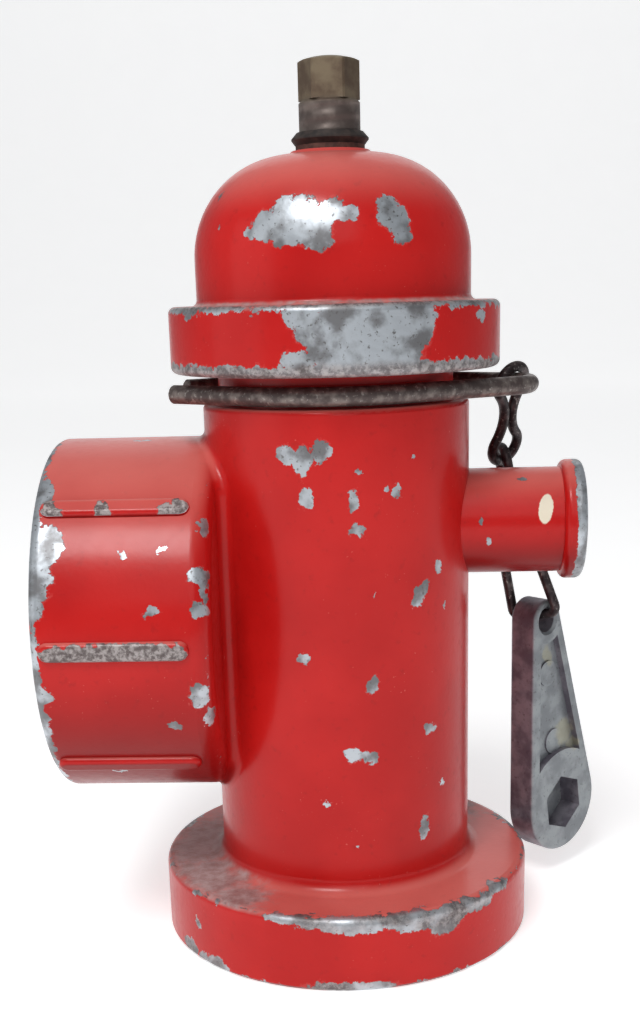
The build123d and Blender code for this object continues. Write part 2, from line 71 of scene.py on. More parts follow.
# ---------------------------------------------------------------- shader helper
class Shader:
    """One material and short ways to add nodes to it."""

    def __init__(self, name):
        self.material = bpy.data.materials.new(name)
        self.material.use_nodes = True
        self.tree = self.material.node_tree
        self.tree.nodes.clear()
        self.output = self.tree.nodes.new("ShaderNodeOutputMaterial")
        coordinates = self.tree.nodes.new("ShaderNodeTexCoord")
        self.place = coordinates.outputs["Object"]
        self.facing = coordinates.outputs["Normal"]

    def link(self, value, socket):
        """Feeds a socket from another socket or from a plain value."""
        if isinstance(value, bpy.types.NodeSocket):
            self.tree.links.new(value, socket)
        elif value is not None:
            socket.default_value = value

    def node(self, kind, inputs=(), **settings):
        """Adds a node, sets its properties, then feeds its inputs by name or number."""
        made = self.tree.nodes.new(kind)
        for key, value in settings.items():
            setattr(made, key, value)
        for key, value in dict(inputs).items():
            self.link(value, made.inputs[key])
        return made

    def math(self, operation, first, second=None):
        made = self.node("ShaderNodeMath", operation=operation)
        self.link(first, made.inputs[0])
        self.link(second, made.inputs[1])
        return made.outputs[0]

    def add(self, first, second):
        return self.math("ADD", first, second)

    def times(self, first, second):
        return self.math("MULTIPLY", first, second)

    def larger(self, values):
        """Largest of several values."""
        best = values[0]
        for value in values[1:]:
            best = self.math("MAXIMUM", best, value)
        return best

    def vector(self, operation, first, second=None, scale=None):
        made = self.node("ShaderNodeVectorMath", operation=operation)
        self.link(first, made.inputs[0])
        self.link(second, made.inputs[1])
        if scale is not None:
            self.link(scale, made.inputs["Scale"])
        return made.outputs["Value" if operation in ("LENGTH", "DOT_PRODUCT") else "Vector"]

    def split(self, vector):
        made = self.node("ShaderNodeSeparateXYZ", {"Vector": vector})
        return made.outputs["X"], made.outputs["Y"], made.outputs["Z"]

    def noise(self, size, detail=3.0, color=False, roughness=0.5):
        """Noise whose features are about the given size in metres."""
        made = self.node("ShaderNodeTexNoise", {
            "Vector": self.place, "Scale": 1 / size, "Detail": detail, "Roughness": roughness})
        return made.outputs["Color" if color else "Fac"]

    def ramp(self, value, low, high, to_low=0.0, to_high=1.0):
        """Smooth step of a value from low..high to to_low..to_high."""
        made = self.node("ShaderNodeMapRange", {
            "Value": value, "From Min": low, "From Max": high, "To Min": to_low, "To Max": to_high,
        }, interpolation_type="SMOOTHSTEP")
        return made.outputs["Result"]

    def mix(self, factor, first, second):
        """Mix of two colours."""
        made = self.node("ShaderNodeMix", data_type="RGBA")
        self.link(factor, made.inputs["Factor"])
        self.link(first, made.inputs[6])
        self.link(second, made.inputs[7])
        return made.outputs[2]

    def bump(self, height, distance, strength=1.0, below=None):
        made = self.node("ShaderNodeBump", {"Height": height, "Distance": distance, "Strength": strength})
        if below is not None:
            self.link(below, made.inputs["Normal"])
        return made.outputs["Normal"]

    def surface(self, **inputs):
        """Principled surface. Names use underscores for spaces."""
        made = self.node("ShaderNodeBsdfPrincipled")
        for key, value in inputs.items():
            self.link(value, made.inputs[key.replace("_", " ")])
        self.tree.links.new(made.outputs[0], self.output.inputs["Surface"])
        return self.material


# ---------------------------------------------------------------- colours
def rgb(red, green, blue):
    """Linear colour from display values 0 to 255."""
    return (*[(value / 255) ** 2.2 for value in (red, green, blue)], 1.0)


# Pairs run from dark to light.
ZINC = rgb(122, 122, 124), rgb(190, 196, 202)
ZINC_GRIT = rgb(100, 96, 94)
ZINC_GRIME = rgb(96, 98, 98)
BROWNED_ZINC = rgb(110, 100, 99), rgb(178, 170, 168)
ENAMEL = rgb(182, 28, 27), rgb(196, 35, 33)
ENAMEL_MOTTLE = rgb(150, 28, 27)
# Dust on up-facing enamel, together with a painted sheen of top light.
ENAMEL_DUST_AND_SHEEN = rgb(234, 140, 130)
ENAMEL_SPECK = rgb(214, 120, 110)
ENAMEL_PAINTED_SHADE = rgb(112, 16, 17)
# Painted shade for enamel that faces down.
ENAMEL_CHIP_EDGE = rgb(206, 96, 92)
DUST = rgb(140, 116, 114), rgb(178, 168, 166)
CREAM_TOUCH_UP = rgb(232, 222, 200)
WRENCH_GREY = rgb(128, 132, 136), rgb(152, 157, 160)
WRENCH_GREY_SPECK = rgb(92, 92, 96)
WRENCH_STAIN = rgb(108, 104, 114), rgb(148, 144, 152)
WRENCH_STAIN_SPECK = rgb(76, 66, 72)
WRENCH_RESIDUE = rgb(176, 172, 146)
AGED_BRASS = rgb(92, 74, 58), rgb(128, 108, 78)
STEM_BROWN = rgb(98, 82, 68), rgb(126, 112, 92)
STEM_GREY = rgb(90, 80, 76), rgb(120, 110, 104)
STEM_CROWN = rgb(150, 140, 116)
CLIP_WIRE = rgb(84, 74, 72), rgb(126, 116, 111)
CHAIN_WIRE = rgb(50, 42, 44), rgb(90, 80, 80)
WIRE_SHINE = rgb(170, 164, 158)
BLACK_RUBBER = rgb(34, 28, 26), rgb(58, 48, 44)
COLLAR_FIBRE = rgb(72, 44, 38), rgb(106, 68, 58)
GASKET_FIBRE = rgb(104, 58, 40), rgb(138, 84, 60)
FLOOR_PAPER = rgb(240, 240, 240), rgb(246, 246, 246)


# ---------------------------------------------------------------- wear places
def barrel_axes(azimuth):
    """Across, outward and up directions on an upright round wall."""
    turn = radians(azimuth)
    across = Vector((cos(turn), sin(turn), 0))
    outward = Vector((sin(turn), -cos(turn), 0))
    return across, outward, UPWARD


def on_wall(radius, azimuth, height, wide, tall, tilt=0):
    """Worn spot on an upright round wall: sizes in mm, tilt in degrees clockwise."""
    across, outward, up = barrel_axes(azimuth)
    centre = outward * radius + up * height * MM
    return centre, (across, outward, up), (wide, tall), tilt


def on_level_tube(radius, axis_height, x, angle, wide, tall, tilt=0):
    """Worn spot on a tube along X: angle 0 faces the front, 90 is its top."""
    turn = radians(angle)
    outward = Vector((0, -cos(turn), sin(turn)))
    up = Vector((0, sin(turn), cos(turn)))
    centre = Vector((x * MM, 0, axis_height)) + outward * radius
    return centre, (ALONG_SPOUT, outward, up), (wide, tall), tilt


def on_coupling(*spot):
    """Worn spot on the coupling drum: x, angle, wide, tall and tilt."""
    return on_level_tube(COUPLING_RADIUS, COUPLING_HEIGHT, *spot)


def on_spout(*spot):
    """Worn spot on the spout: x, angle, wide, tall and tilt."""
    return on_level_tube(SPOUT_RADIUS, SPOUT_HEIGHT, *spot)


FAR_AWAY = 1000.0
SHAKE_GAIN = 4
SHAKE_SIZE = 1.1 * MM


def spot_field(shader, place, spots, depth=1.6 * MM):
    """1 at the middle of the nearest worn spot, 0 at its edge, negative outside."""
    nearest = FAR_AWAY
    for centre, (across, outward, up), (wide, tall), tilt in spots:
        turn = Matrix.Rotation(radians(-tilt), 3, outward)
        axes = Matrix((turn @ across, -outward, turn @ up)).transposed()
        mapping = shader.node("ShaderNodeMapping", {
            "Vector": place, "Location": centre, "Rotation": axes.to_euler(),
            "Scale": (wide / 2 * MM, depth, tall / 2 * MM)}, vector_type="TEXTURE")
        reach = shader.vector("LENGTH", mapping.outputs[0])
        nearest = shader.math("MINIMUM", nearest, reach)
    return shader.math("SUBTRACT", 1.0, nearest)


def ragged(shader, amount=0.55 * MM):
    """Object position shaken by noise, so that what is cut out with it has a broken outline."""
    shake = shader.noise(SHAKE_SIZE, detail=4.0, color=True, roughness=0.65)
    offset = shader.vector("SUBTRACT", shake, (0.5, 0.5, 0.5))
    scaled = shader.vector("SCALE", offset, scale=amount * SHAKE_GAIN)
    return shader.vector("ADD", shader.place, scaled)


def hypotenuse(shader, first, second):
    """Length of a step with two parts at right angles."""
    return shader.math("POWER", shader.add(shader.times(first, first), shader.times(second, second)), 0.5)


def ring_distance(shader, place, radius, level, centre_height=None):
    """Distance from a round edge: about the barrel's axis, or about the X axis at a given height."""
    x, y, z = shader.split(place)
    if centre_height is None:
        across, along = hypotenuse(shader, x, y), z
    else:
        across, along = hypotenuse(shader, y, shader.math("SUBTRACT", z, centre_height)), x
    out = shader.math("SUBTRACT", across, radius)
    off = shader.math("SUBTRACT", along, level)
    return hypotenuse(shader, out, off)


def edge_wear(shader, distance, width, roughness_noise):
    """Positive close to an edge, with a ragged border."""
    near = shader.math("SUBTRACT", 1.0, shader.math("DIVIDE", distance, width))
    return shader.add(near, roughness_noise)


# ---------------------------------------------------------------- metals and paint
def bare_zinc(shader):
    """Colour and roughness of die-cast zinc where the paint has gone."""
    cloud = shader.noise(2.6 * MM, detail=5.0)
    grit = shader.noise(0.35 * MM, detail=2.0)
    dull = shader.mix(shader.ramp(cloud, 0.36, 0.58), *ZINC)
    color = shader.mix(shader.ramp(grit, 0.60, 0.74, 0.0, 0.8), dull, ZINC_GRIT)
    return color, shader.ramp(cloud, 0.3, 0.7, 0.52, 0.36)


def red_enamel(shader):
    """Colour and roughness of old red enamel: dusty and lit by a painted sheen where it faces up, darker
    with painted shade where it faces down.
    """
    cloud = shader.noise(14 * MM, detail=4.0)
    fine = shader.noise(0.9 * MM, detail=3.0)
    color = shader.mix(shader.ramp(cloud, 0.35, 0.65), *ENAMEL)
    color = shader.mix(shader.ramp(fine, 0.58, 0.8, 0.0, 0.4), color, ENAMEL_MOTTLE)
    _, _, up = shader.split(shader.facing)
    # Partly real dust, partly a painted sheen of top light: the enamel is lighter and pinker where it
    # faces up.
    dust_and_sheen = shader.times(shader.ramp(up, 0.35, 0.98, 0.0, 0.6), shader.ramp(cloud, 0.3, 0.7, 0.7, 1.0))
    color = shader.mix(dust_and_sheen, color, ENAMEL_DUST_AND_SHEEN)
    speck = shader.ramp(shader.noise(0.28 * MM, detail=1.0), 0.74, 0.78, 0.0, 0.5)
    patch = shader.ramp(shader.noise(9 * MM, detail=2.0), 0.5, 0.62)
    color = shader.mix(shader.times(speck, patch), color, ENAMEL_SPECK)
    # Painted shade: the enamel is darkened where it faces down.
    color = shader.mix(shader.ramp(up, 0.0, -0.8, 0.0, 0.85), color, ENAMEL_PAINTED_SHADE)
    return color, shader.ramp(fine, 0.35, 0.75, 0.28, 0.36)


def painted_metal(name, wear_of, scuffs_of=None, tarnish_of=None, touch_up_of=None):
    """Red enamel over zinc: where it has worn off, is dirty or daubed, and where the metal is brown."""
    shader = Shader(name)
    paint, paint_rough = red_enamel(shader)
    zinc, zinc_rough = bare_zinc(shader)
    wear = wear_of(shader)
    scuff = scuffs_of(shader) if scuffs_of else 0.0
    tarnish = tarnish_of(shader) if tarnish_of else 0.0
    bare = shader.ramp(wear, -0.02, 0.03)
    rim = shader.times(shader.ramp(wear, -0.16, -0.02), shader.math("SUBTRACT", 1.0, bare))
    grit = shader.ramp(shader.noise(0.6 * MM, detail=4.0, roughness=0.7), 0.40, 0.62)
    smudge = shader.ramp(shader.noise(1.5 * MM, detail=5.0, roughness=0.7), 0.30, 0.70)
    browned = shader.mix(grit, *BROWNED_ZINC)
    metal = shader.mix(tarnish, zinc, browned)
    dust = shader.mix(smudge, *DUST)
    dirty = shader.mix(scuff, paint, dust)
    edged = shader.mix(shader.times(rim, 0.35), dirty, ENAMEL_CHIP_EDGE)
    color = shader.mix(bare, edged, metal)
    if touch_up_of:
        color = shader.mix(touch_up_of(shader), color, CREAM_TOUCH_UP)
    rough = shader.node("ShaderNodeMix", data_type="FLOAT")
    shader.link(bare, rough.inputs[0])
    shader.link(shader.add(paint_rough, shader.times(scuff, 0.4)), rough.inputs[2])
    shader.link(shader.add(zinc_rough, shader.times(tarnish, 0.22)), rough.inputs[3])
    waves = shader.noise(1.6 * MM, detail=2.0)
    skin = shader.bump(waves, 0.06 * MM, 0.22)
    film = shader.bump(shader.math("SUBTRACT", 1.0, bare), 0.09 * MM, 1.0, below=skin)
    grain = shader.bump(shader.noise(0.5 * MM, detail=4.0), 0.05 * MM, 0.35, below=film)
    return shader.surface(Base_Color=color, Roughness=rough.outputs[0], Metallic=shader.times(bare, 0.8),
                          Normal=grain, Specular_IOR_Level=0.12, Coat_Weight=0.28, Coat_Roughness=0.20)


BARREL_CHIPS = [  # azimuth, height, wide, tall, tilt
    (-19, 52.8, 1.5, 2.2, -50), (-12.3, 52.2, 1.9, 3.0, 0), (-4.9, 53.1, 1.6, 2.3, 45),
    (-11.3, 48.7, 1.5, 2.1, 0), (8.2, 48.5, 0.8, 2.2, 5), (9.3, 45.5, 1.5, 1.2, 0),
    (22.4, 49.3, 0.6, 0.8, 30), (26.4, 49.0, 0.8, 1.2, 20), (47.9, 41.0, 1.0, 1.8, -15),
    (37.2, 38.7, 1.3, 2.9, 28), (52.2, 37.0, 0.5, 0.7, 0), (-14.2, 32.8, 1.4, 0.9, -30),
    (15.1, 29.9, 1.1, 2.1, 20), (42.4, 24.5, 1.8, 0.9, 10), (6.3, 22.9, 2.0, 1.6, 0),
    (13.0, 22.6, 1.9, 1.4, 0), (-5.8, 17.7, 1.0, 0.7, 0), (38.6, 13.9, 1.2, 3.0, 20),
    (10.0, 51.1, 0.5, 0.6, 0), (34.0, 52.3, 0.5, 0.6, 0), (16.1, 39.1, 0.3, 0.6, 20),
    (50.5, 18.1, 0.3, 0.9, 15), (6.4, 13.1, 0.4, 0.4, 0), (118, 40, 1.6, 3.0, 20),
    (140, 26, 2.4, 1.6, 0), (163, 47, 1.2, 2.2, -20), (176, 18, 1.4, 1.0, 0), (205, 51, 2.6, 1.5, 10),
    (96, 22, 1.0, 2.0, 0), (150, 12, 1.2, 1.1, 0),
]
COUPLING_CHIPS = [  # x, angle, wide, tall, tilt
    (-28.4, 52, 2.4, 4.0, 0), (-27.9, 33, 4.2, 4.6, 20), (-28.3, 22, 3.0, 4.2, 0),
    (-28.7, 15, 2.0, 3.0, 0), (-28.5, -12.5, 2.0, 1.9, 0), (-12.4, 39.4, 1.4, 2.1, 0),
    (-12.8, 23.4, 2.2, 1.7, 0), (-12.6, 12.8, 1.9, 1.5, 0), (-12.3, 18, 0.8, 2.6, 0),
    (-13.1, -14, 2.1, 2.8, 0), (-12.3, -22.7, 1.2, 2.1, 0), (-17.2, 12.3, 1.7, 0.8, -10),
    (-16.3, 30.8, 1.3, 0.6, -20), (-20.1, 29.3, 0.8, 0.9, 0), (-15.8, -24.5, 1.6, 0.6, 10),
    (-22.5, -48.5, 1.7, 0.4, 0), (-20.2, 84, 2.0, 0.6, 0), (-26, 120, 3.0, 4.0, 0),
    (-14, 150, 2.0, 3.0, 0), (-28.6, 190, 2.5, 5.0, 0), (-28.6, 250, 2.0, 4.0, 0),
    (-20, 210, 1.5, 1.2, 0),
]
SPOUT_MARKS = [
    (14.6, 8, 0.5, 0.5, 0), (15.4, -14, 0.6, 0.9, 20), (18.8, 58, 1.0, 0.5, 0), (17, 150, 1.4, 0.9, 0),
]
BASE_SIDE_CHIPS = [
    (-17, 7.5, 5.0, 1.0, 0), (-8, 7.4, 6.0, 1.2, 0), (3, 7.2, 7.0, 1.8, 0), (13, 7.5, 6.0, 1.2, 0),
    (23, 7.1, 7.0, 2.2, 0), (31, 6.5, 4.6, 3.0, 0), (38, 7.1, 4.0, 1.9, 0), (46, 7.0, 3.0, 1.8, 0),
    (55, 7.5, 4.0, 1.2, 0), (-55, 0.8, 3.0, 1.8, 0), (-43, 0.5, 5.0, 1.8, 0), (2.5, 0.3, 10.0, 1.6, 0),
    (-49.5, 4.3, 0.8, 1.2, -30), (110, 7.2, 8.0, 2.0, 0), (150, 7.4, 9.0, 1.6, 0),
    (200, 7.0, 6.0, 2.4, 0), (128, 3.0, 1.8, 1.4, 0), (182, 0.6, 7.0, 1.6, 0), (250, 7.2, 7.0, 2.0, 0),
]
RIB_PATCHES = [  # x, angle, wide, tall
    (-20.7, -1, 17.4, 3.4), (-27.3, 42, 2.6, 3.0), (-22.2, 42, 2.0, 3.0), (-15.0, 42, 4.4, 3.0),
    (-20.7, 181, 16.0, 3.2), (-24, 138, 5.0, 3.0),
]
FOOT_SCUFFS = [  # radius, azimuth, wide
    (16, -88, 20), (17, -58, 16), (18, -38, 8), (16, 140, 14), (16, 200, 20),
]


def unrest(shader, fine_size, broad_size, fine_amount, broad_amount, shift=0.0):
    """Noise about a mean, used to break up a worn edge."""
    fine = shader.math("SUBTRACT", shader.noise(fine_size, detail=4.0), 0.5)
    broad = shader.math("SUBTRACT", shader.noise(broad_size, detail=3.0), 0.5)
    both = shader.add(shader.times(fine, fine_amount), shader.times(broad, broad_amount))
    return shader.add(both, shift)


def barrel_wear(shader):
    """Chips on the barrel."""
    return spot_field(shader, ragged(shader), [on_wall(BARREL_RADIUS, *chip) for chip in BARREL_CHIPS])


def coupling_wear(shader):
    """Chips, worn rims and rubbed ribs of the hose coupling."""
    place = ragged(shader)
    rim = ring_distance(shader, place, COUPLING_RADIUS, COUPLING_FACE, COUPLING_HEIGHT)
    inset = 0.5 * MM
    back = ring_distance(shader, place, COUPLING_RADIUS - inset, COUPLING_BACK - inset, COUPLING_HEIGHT)
    return shader.larger([
        spot_field(shader, place, [on_coupling(*chip) for chip in COUPLING_CHIPS]),
        edge_wear(shader, rim, 0.9 * MM, unrest(shader, 0.9 * MM, 6 * MM, 0.8, 1.4)),
        edge_wear(shader, back, 0.4 * MM, unrest(shader, 0.9 * MM, 6 * MM, 1.0, 2.6, -1.1)),
        rib_wear(shader),
    ])


def foot_wear(shader):
    """Chips round the top and bottom edges of the foot."""
    place = ragged(shader)
    top = ring_distance(shader, place, BASE_RADIUS, BASE_TOP)
    low = ring_distance(shader, place, BASE_RADIUS, 0)
    return shader.larger([
        spot_field(shader, place, [on_wall(BASE_RADIUS, *chip) for chip in BASE_SIDE_CHIPS]),
        edge_wear(shader, top, 0.8 * MM, unrest(shader, 0.9 * MM, 6 * MM, 1.2, 2.8, -0.65)),
        edge_wear(shader, low, 0.6 * MM, unrest(shader, 0.9 * MM, 6 * MM, 1.2, 2.6, -0.7)),
    ])


def spout_wear(shader):
    """The spout's lip has lost its paint."""
    x, _, _ = shader.split(ragged(shader, amount=0.3 * MM))
    lip = shader.math("DIVIDE", shader.math("SUBTRACT", x, SPOUT_END - 1.1 * MM), 0.8 * MM)
    marks = spot_field(shader, ragged(shader, amount=0.3 * MM), [on_spout(*mark) for mark in SPOUT_MARKS])
    return shader.math("MAXIMUM", lip, marks)


def proud_of_coupling(shader):
    """1 on the crowns of the grip ribs, -1 on the drum between them."""
    _, y, z = shader.split(shader.place)
    reach = hypotenuse(shader, y, shader.math("SUBTRACT", z, COUPLING_HEIGHT))
    return shader.ramp(reach, COUPLING_RADIUS + 0.12 * MM, COUPLING_RADIUS + 0.4 * MM, -1.0, 1.0)


def rib_wear(shader):
    """Grip ribs: the front one is rubbed bare, the one above it only at its ends."""
    fine = shader.math("SUBTRACT", shader.noise(0.9 * MM, detail=4.0), 0.5)
    field = spot_field(shader, shader.place, [on_coupling(*patch) for patch in RIB_PATCHES])
    return shader.math("MINIMUM", proud_of_coupling(shader), shader.add(field, shader.times(fine, 1.4)))


def spout_touch_up(shader):
    """Oval dab of cream enamel on the spout."""
    dab = spot_field(shader, ragged(shader, amount=0.12 * MM), [on_spout(21.1, 20, 1.5, 3.4, 8)])
    return shader.ramp(dab, 0.0, 0.12)


def rib_tarnish(shader):
    """The rubbed ribs are browner than fresh chips."""
    return shader.math("MAXIMUM", proud_of_coupling(shader), 0.0)


def ring_tarnish(shader):
    """The bonnet ring is brown along its lower edge and its top."""
    _, _, z = shader.split(shader.place)
    low = shader.ramp(z, RING_BOTTOM + 1.6 * MM, RING_BOTTOM + 0.7 * MM, 0.0, 0.8)
    top = shader.ramp(z, RING_TOP - 0.5 * MM, RING_TOP - 0.1 * MM, 0.0, 0.8)
    over = shader.ramp(z, RING_TOP + 1.5 * MM, RING_TOP + 2.0 * MM, 1.0, 0.0)
    return shader.math("MAXIMUM", low, shader.times(top, over))


def foot_scuffs(shader):
    """Grey-brown dirt on the left and back of the foot's top."""
    _, _, up = shader.split(shader.facing)
    mottle = shader.math("SUBTRACT", shader.noise(2.2 * MM, detail=6.0, roughness=0.7), 0.5)
    top = [on_wall(radius * MM, azimuth, BASE_TOP / MM, wide, 6) for radius, azimuth, wide in FOOT_SCUFFS]
    field = spot_field(shader, shader.place, top, depth=4.5 * MM)
    soft = shader.ramp(shader.add(field, shader.times(mottle, 1.8)), -0.25, 0.6)
    return shader.times(soft, shader.ramp(up, 0.3, 0.8, 0.0, 0.85))


def foot_tarnish(shader):
    """The foot's bare edges are partly brown."""
    return shader.ramp(shader.noise(3 * MM, detail=4.0), 0.35, 0.65, 0.1, 0.8)


DOME_CHIPS = [
    (-31, 72.9, 1.6, 1.3, 0), (-24, 73.4, 3.6, 2.8, 0), (-18, 73.0, 3.8, 2.4, 0),
    (-12, 72.8, 3.4, 2.4, 0), (-17, 74.9, 2.4, 2.6, 0), (-10, 74.4, 3.2, 3.2, 0),
    (-5, 73.4, 3.4, 3.2, 0), (-3.5, 72.1, 3.0, 2.2, 0),
    (2, 74.6, 2.2, 2.4, 0), (6.5, 74.3, 2.8, 1.4, 0), (25.5, 75.0, 2.2, 1.8, 0),
    (27.5, 73.9, 3.2, 2.8, 0), (29.6, 72.6, 2.2, 2.2, 0), (-60, 76.6, 0.8, 0.6, 0),
    (-51, 73.5, 0.5, 0.6, 0), (120, 74.0, 2.4, 1.8, 0), (165, 75.5, 3.0, 2.4, 0),
    (215, 72.5, 1.8, 2.6, 0),
]
RING_CHIPS = [
    (-8, 65.4, 3.4, 2.2, 0), (-5, 64.2, 3.4, 2.6, 0), (-1, 62.8, 3.2, 3.6, 0), (5, 63.6, 6.0, 6.4, 0),
    (14, 63.4, 7.0, 7.0, 0), (22, 63.6, 6.0, 6.4, 0), (27, 64.2, 4.6, 4.0, 0), (31, 65.2, 3.0, 2.2, 0),
    (-10, 61.6, 3.4, 1.6, 0), (22, 61.8, 5.0, 3.0, 0), (58.5, 65.2, 1.6, 1.2, 0),
    (-54, 65.6, 1.4, 1.0, 0), (130, 63.5, 4.0, 3.6, 0), (190, 65.2, 3.4, 1.8, 0),
    (240, 62.4, 3.0, 2.6, 0),
]


def bonnet_wear(shader):
    """Bare metal of the bonnet: two chips on the dome, a broad patch and worn edges on the ring."""
    place = ragged(shader)
    spots = [on_wall(DOME_SPOT_RADIUS, *chip) for chip in DOME_CHIPS]
    spots += [on_wall(RING_RADIUS, *chip) for chip in RING_CHIPS]
    low = ring_distance(shader, place, RING_RADIUS, RING_BOTTOM)
    top = ring_distance(shader, place, RING_RADIUS, RING_TOP)
    return shader.larger([
        spot_field(shader, place, spots, depth=2.2 * MM),
        edge_wear(shader, low, 1.15 * MM, unrest(shader, 0.8 * MM, 5 * MM, 0.8, 0.5)),
        edge_wear(shader, top, 0.6 * MM, unrest(shader, 0.8 * MM, 5 * MM, 1.2, 1.2)),
    ])


def bonnet_scuffs(shader):
    """Dusty band on top of the ring."""
    _, _, z = shader.split(shader.place)
    _, _, up = shader.split(shader.facing)
    band = shader.ramp(z, RING_TOP + 0.9 * MM, RING_TOP + 0.1 * MM)
    mottle = shader.noise(1.0 * MM, detail=4.0)
    level = shader.times(band, shader.ramp(up, 0.2, 0.8))
    return shader.times(level, shader.ramp(mottle, 0.3, 0.6, 0.25, 0.8))


def cast_zinc(name):
    """Unpainted zinc casting with handling grime."""
    shader = Shader(name)
    color, rough = bare_zinc(shader)
    grime = shader.ramp(shader.noise(2.5 * MM, detail=5.0), 0.42, 0.66)
    color = shader.mix(shader.times(grime, 0.5), color, ZINC_GRIME)
    grain = shader.bump(shader.noise(0.45 * MM, detail=4.0), 0.06 * MM, 0.5)
    return shader.surface(Base_Color=color, Roughness=shader.add(rough, 0.08), Metallic=0.75, Normal=grain)


def wrench_axes():
    """Eye centre, long axis and face direction of the wrench, from its joint."""
    joint = next(j for j in frame["record"]["behaviour"]["joints"] if j["name"] == "wrench_swing")
    face = Vector(joint["axis"])
    low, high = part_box("wrench")
    eye = Vector(joint["pos_m"])
    middle = (low + high) / 2
    along = (eye - middle) - face * (eye - middle).dot(face)
    return eye, along.normalized(), face


RESIDUE_SPOTS = [  # away from the eye, to one side, wide, tall
    (4.6, 0.2, 1.8, 3.2), (15.0, -0.3, 3.6, 4.2), (17.0, -1.4, 2.6, 2.0),
]


def worn_wrench(name):
    """Grey faces, purple-brown stained sides and yellowish residue in the web."""
    shader = Shader(name)
    eye, along, face = wrench_axes()
    cloud = shader.noise(2.0 * MM, detail=5.0)
    speck = shader.noise(0.4 * MM, detail=3.0)
    grey = shader.mix(shader.ramp(cloud, 0.35, 0.65), *WRENCH_GREY)
    grey = shader.mix(shader.ramp(speck, 0.58, 0.75, 0.0, 0.6), grey, WRENCH_GREY_SPECK)
    stain = shader.mix(shader.ramp(cloud, 0.35, 0.65), *WRENCH_STAIN)
    stain = shader.mix(shader.ramp(speck, 0.58, 0.75, 0.0, 0.5), stain, WRENCH_STAIN_SPECK)
    turned = shader.math("ABSOLUTE", shader.vector("DOT_PRODUCT", shader.facing, face))
    color = shader.mix(shader.ramp(turned, 0.25, 0.7), stain, grey)
    across = face.cross(along)
    spots = [(eye - along * away * MM + across * side * MM, (across, face, along), (wide, tall), 0)
             for away, side, wide, tall in RESIDUE_SPOTS]
    residue = spot_field(shader, ragged(shader, amount=0.4 * MM), spots, depth=4 * MM)
    color = shader.mix(shader.ramp(residue, 0.0, 0.4, 0.0, 0.55), color, WRENCH_RESIDUE)
    grain = shader.bump(shader.noise(0.45 * MM, detail=4.0), 0.06 * MM, 0.45)
    return shader.surface(Base_Color=color, Roughness=0.5, Metallic=0.55, Normal=grain)


def aged_brass(name):
    """Brass with a brown-olive patina."""
    shader = Shader(name)
    cloud = shader.noise(2.2 * MM, detail=5.0)
    color = shader.mix(shader.ramp(cloud, 0.36, 0.66), *AGED_BRASS)
    grain = shader.bump(shader.noise(0.3 * MM, detail=3.0), 0.03 * MM, 0.5)
    return shader.surface(Base_Color=color, Roughness=shader.ramp(cloud, 0.3, 0.7, 0.58, 0.42),
                          Metallic=0.7, Normal=grain)


def threaded_brass(name):
    """Stem: brown brass, greyer below the hexagon where a worn thread shows."""
    shader = Shader(name)
    x, y, z = shader.split(shader.place)
    cloud = shader.noise(1.8 * MM, detail=5.0)
    brown = shader.mix(shader.ramp(cloud, 0.36, 0.66), *STEM_BROWN)
    grey = shader.mix(shader.ramp(cloud, 0.36, 0.66), *STEM_GREY)
    shank_top = STEM_TOP - STEM_HEXAGON_HEIGHT
    shank = shader.ramp(z, shank_top + 0.3 * MM, shank_top - 0.6 * MM)
    color = shader.mix(shank, brown, grey)
    crown = shader.ramp(z, STEM_TOP - 0.7 * MM, STEM_TOP - 0.2 * MM, 0.0, 0.6)
    color = shader.mix(crown, color, STEM_CROWN)
    turn = shader.math("DIVIDE", shader.math("ARCTAN2", y, x), 2 * pi)
    climb = shader.math("DIVIDE", z, THREAD_PITCH)
    ridge = shader.math("SINE", shader.times(shader.math("SUBTRACT", climb, turn), 2 * pi))
    thread = shader.bump(shader.times(ridge, shank), 0.10 * MM, 0.7)
    grain = shader.bump(shader.noise(0.35 * MM, detail=3.0), 0.03 * MM, 0.5, below=thread)
    return shader.surface(Base_Color=color, Roughness=0.5, Metallic=0.6, Normal=grain)


def tarnished_wire(name, dark, light):
    """Old steel wire: brown-grey tarnish with small bright rubbed specks."""
    shader = Shader(name)
    cloud = shader.noise(1.0 * MM, detail=5.0)
    color = shader.mix(shader.ramp(cloud, 0.40, 0.68), dark, light)
    shine = shader.ramp(shader.noise(0.35 * MM, detail=3.0), 0.60, 0.70, 0.0, 0.5)
    color = shader.mix(shine, color, WIRE_SHINE)
    pits = shader.bump(shader.noise(0.25 * MM, detail=3.0), 0.04 * MM, 0.6)
    return shader.surface(Base_Color=color, Roughness=shader.ramp(cloud, 0.35, 0.7, 0.50, 0.36),
                          Metallic=0.6, Normal=pits)


def soft_material(name, dark, light, roughness):
    """Rubber or pressed fibre: matt, slightly mottled."""
    shader = Shader(name)
    cloud = shader.noise(0.8 * MM, detail=4.0)
    color = shader.mix(shader.ramp(cloud, 0.35, 0.65), dark, light)
    grain = shader.bump(shader.noise(0.25 * MM, detail=2.0), 0.03 * MM, 0.6)
    return shader.surface(Base_Color=color, Roughness=roughness, Normal=grain)


def assign(material, *nodes):
    """Gives CAD nodes one material."""
    for name in nodes:
        mesh = frame["nodes"][name].data
        mesh.materials.clear()
        mesh.materials.append(material)


def casting_region(x, y, z):
    """Which part of the casting a point is on: 0 barrel, 1 coupling, 2 foot, 3 spout."""
    if z < FOOT_FILLET_TOP:
        return 2
    outside_barrel = hypot(x, y) > BARREL_RADIUS + 0.02 * MM
    if outside_barrel and x > 0 and hypot(y, z - SPOUT_HEIGHT) < SPOUT_REACH:
        return 3
    if outside_barrel and x < 0 and hypot(y, z - COUPLING_HEIGHT) < COUPLING_REACH:
        return 1
    return 0


